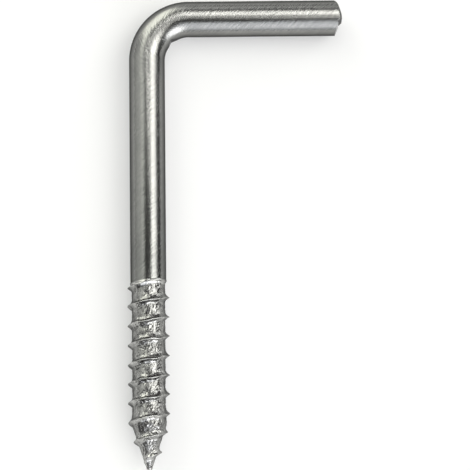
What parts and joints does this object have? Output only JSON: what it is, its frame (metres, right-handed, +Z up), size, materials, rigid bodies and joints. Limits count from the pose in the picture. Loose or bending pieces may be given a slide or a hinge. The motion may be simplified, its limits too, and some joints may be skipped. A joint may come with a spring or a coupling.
{
  "type": "screw hook",
  "caption": "Square-bend screw hook: a bent steel wire with a straight arm and a wood thread that ends in a gimlet point.",
  "frame": {"origin": "middle of the hook's outline seen from above, on the surface that it lies on", "axes": "+X along the arm towards its nose, +Y along the shank from the point to the arm, +Z up, away from the surface that it lies on"},
  "size_m": [0.023, 0.05, 0.0044],
  "materials": {
    "plated_steel": "bright zinc plating over drawn wire, a little dull in the thread"
  },
  "bodies": {
    "root": {"screw_hook": "plated_steel"}
  },
  "joints": []
}
